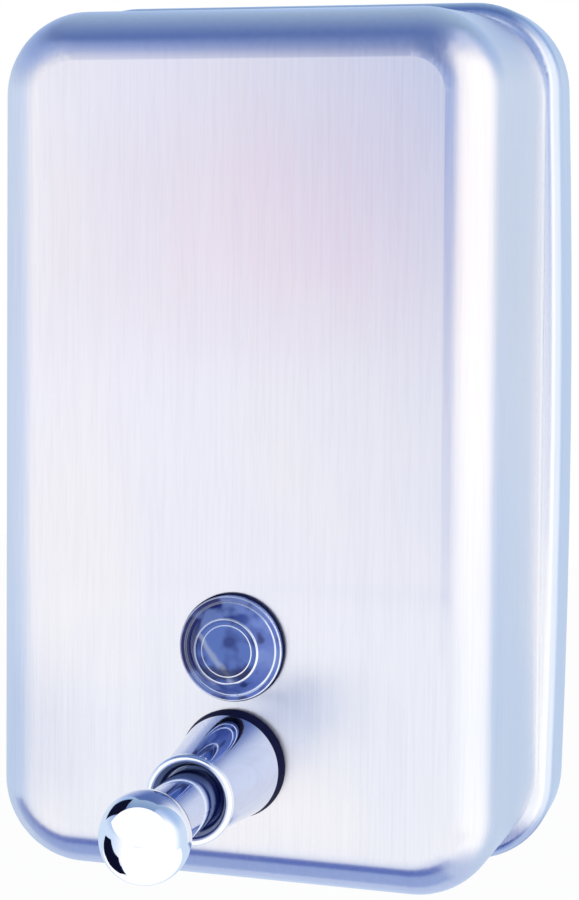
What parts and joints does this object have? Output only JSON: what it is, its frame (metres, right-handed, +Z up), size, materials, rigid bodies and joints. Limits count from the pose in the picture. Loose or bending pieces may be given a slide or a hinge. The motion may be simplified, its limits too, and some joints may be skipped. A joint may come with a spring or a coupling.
{
  "type": "wall mounted soap dispenser",
  "caption": "Upright satin steel wall soap dispenser with a drawn tank, flush filler lid, round sight window and a sprung push valve with a ball knob.",
  "frame": {"origin": "middle of the wall bracket's screw pattern, on the wall plane, at half the tank's height", "axes": "+Y points into the wall, so the front faces -Y; +Z is up; +X is to the right seen from the front"},
  "size_m": [0.1292, 0.1349, 0.2052],
  "materials": {
    "tank_steel": "satin, brushed upright",
    "bracket_zinc": "zinc plated",
    "chrome": "polished chrome",
    "black_rubber": "moulded black rubber",
    "clear_plastic": "clear moulded",
    "tube_plastic": "clear flexible tube",
    "pump_plastic": "white moulded",
    "steel_wire": "drawn stainless",
    "ball_steel": "ground ball",
    "brass_nut": "machined"
  },
  "bodies": {
    "tank": {"front_pan": "tank_steel", "rear_pan": "tank_steel", "filler_frame": "tank_steel", "upper_hanger": "tank_steel", "lower_hanger": "tank_steel", "wall_bracket": "bracket_zinc", "tank_hinge_leaf": "bracket_zinc", "valve_sleeve": "chrome", "valve_gasket": "black_rubber", "window_gasket": "black_rubber", "window_inner_gasket": "black_rubber", "valve_inner_gasket": "black_rubber", "stem_wiper": "black_rubber", "sight_window": "clear_plastic", "pickup_tube": "tube_plastic", "pump_cylinder": "pump_plastic", "inlet_housing": "pump_plastic", "inlet_plug": "pump_plastic", "window_nut": "pump_plastic", "return_spring": "steel_wire", "hinge_pin": "steel_wire", "valve_washer": "steel_wire", "valve_nut": "brass_nut"},
    "lid": {"filler_lid": "tank_steel", "lid_gasket": "black_rubber", "lid_hinge_leaf": "bracket_zinc", "lock_body": "chrome"},
    "lock": {"lock_plug": "chrome", "lock_cam": "bracket_zinc", "cam_screw": "steel_wire"},
    "plunger": {"push_stem": "chrome", "push_knob": "chrome", "piston": "pump_plastic", "piston_seal": "black_rubber", "outlet_spring": "steel_wire"},
    "inlet_ball": {"inlet_ball": "ball_steel"},
    "outlet_ball": {"outlet_ball": "ball_steel"}
  },
  "joints": [
    {"name": "lid_hinge", "type": "hinge", "parent": "tank", "child": "lid", "pos_m": [0, -0.02367, 0.09869], "axis": [-1, 0, 0], "range_deg": [0, 105]},
    {"name": "lock_turn", "type": "hinge", "parent": "lid", "child": "lock", "pos_m": [0, -0.0412, 0.09896], "axis": [0, 0.0414, -0.9991], "range_deg": [0, 90]},
    {"name": "push", "type": "slide", "parent": "tank", "child": "plunger", "axis": [0, 1, 0], "range_m": [0, 0.012], "stiffness_N_per_m": 300, "springref_m": -0.01, "deforming": ["return_spring"]},
    {"name": "inlet_lift", "type": "slide", "parent": "tank", "child": "inlet_ball", "axis": [0, 0, 1], "range_m": [0, 0.002]},
    {"name": "outlet_lift", "type": "slide", "parent": "plunger", "child": "outlet_ball", "axis": [0, -1, 0], "range_m": [0, 0.0015], "stiffness_N_per_m": 5, "springref_m": -0.004, "deforming": ["outlet_spring"]}
  ]
}
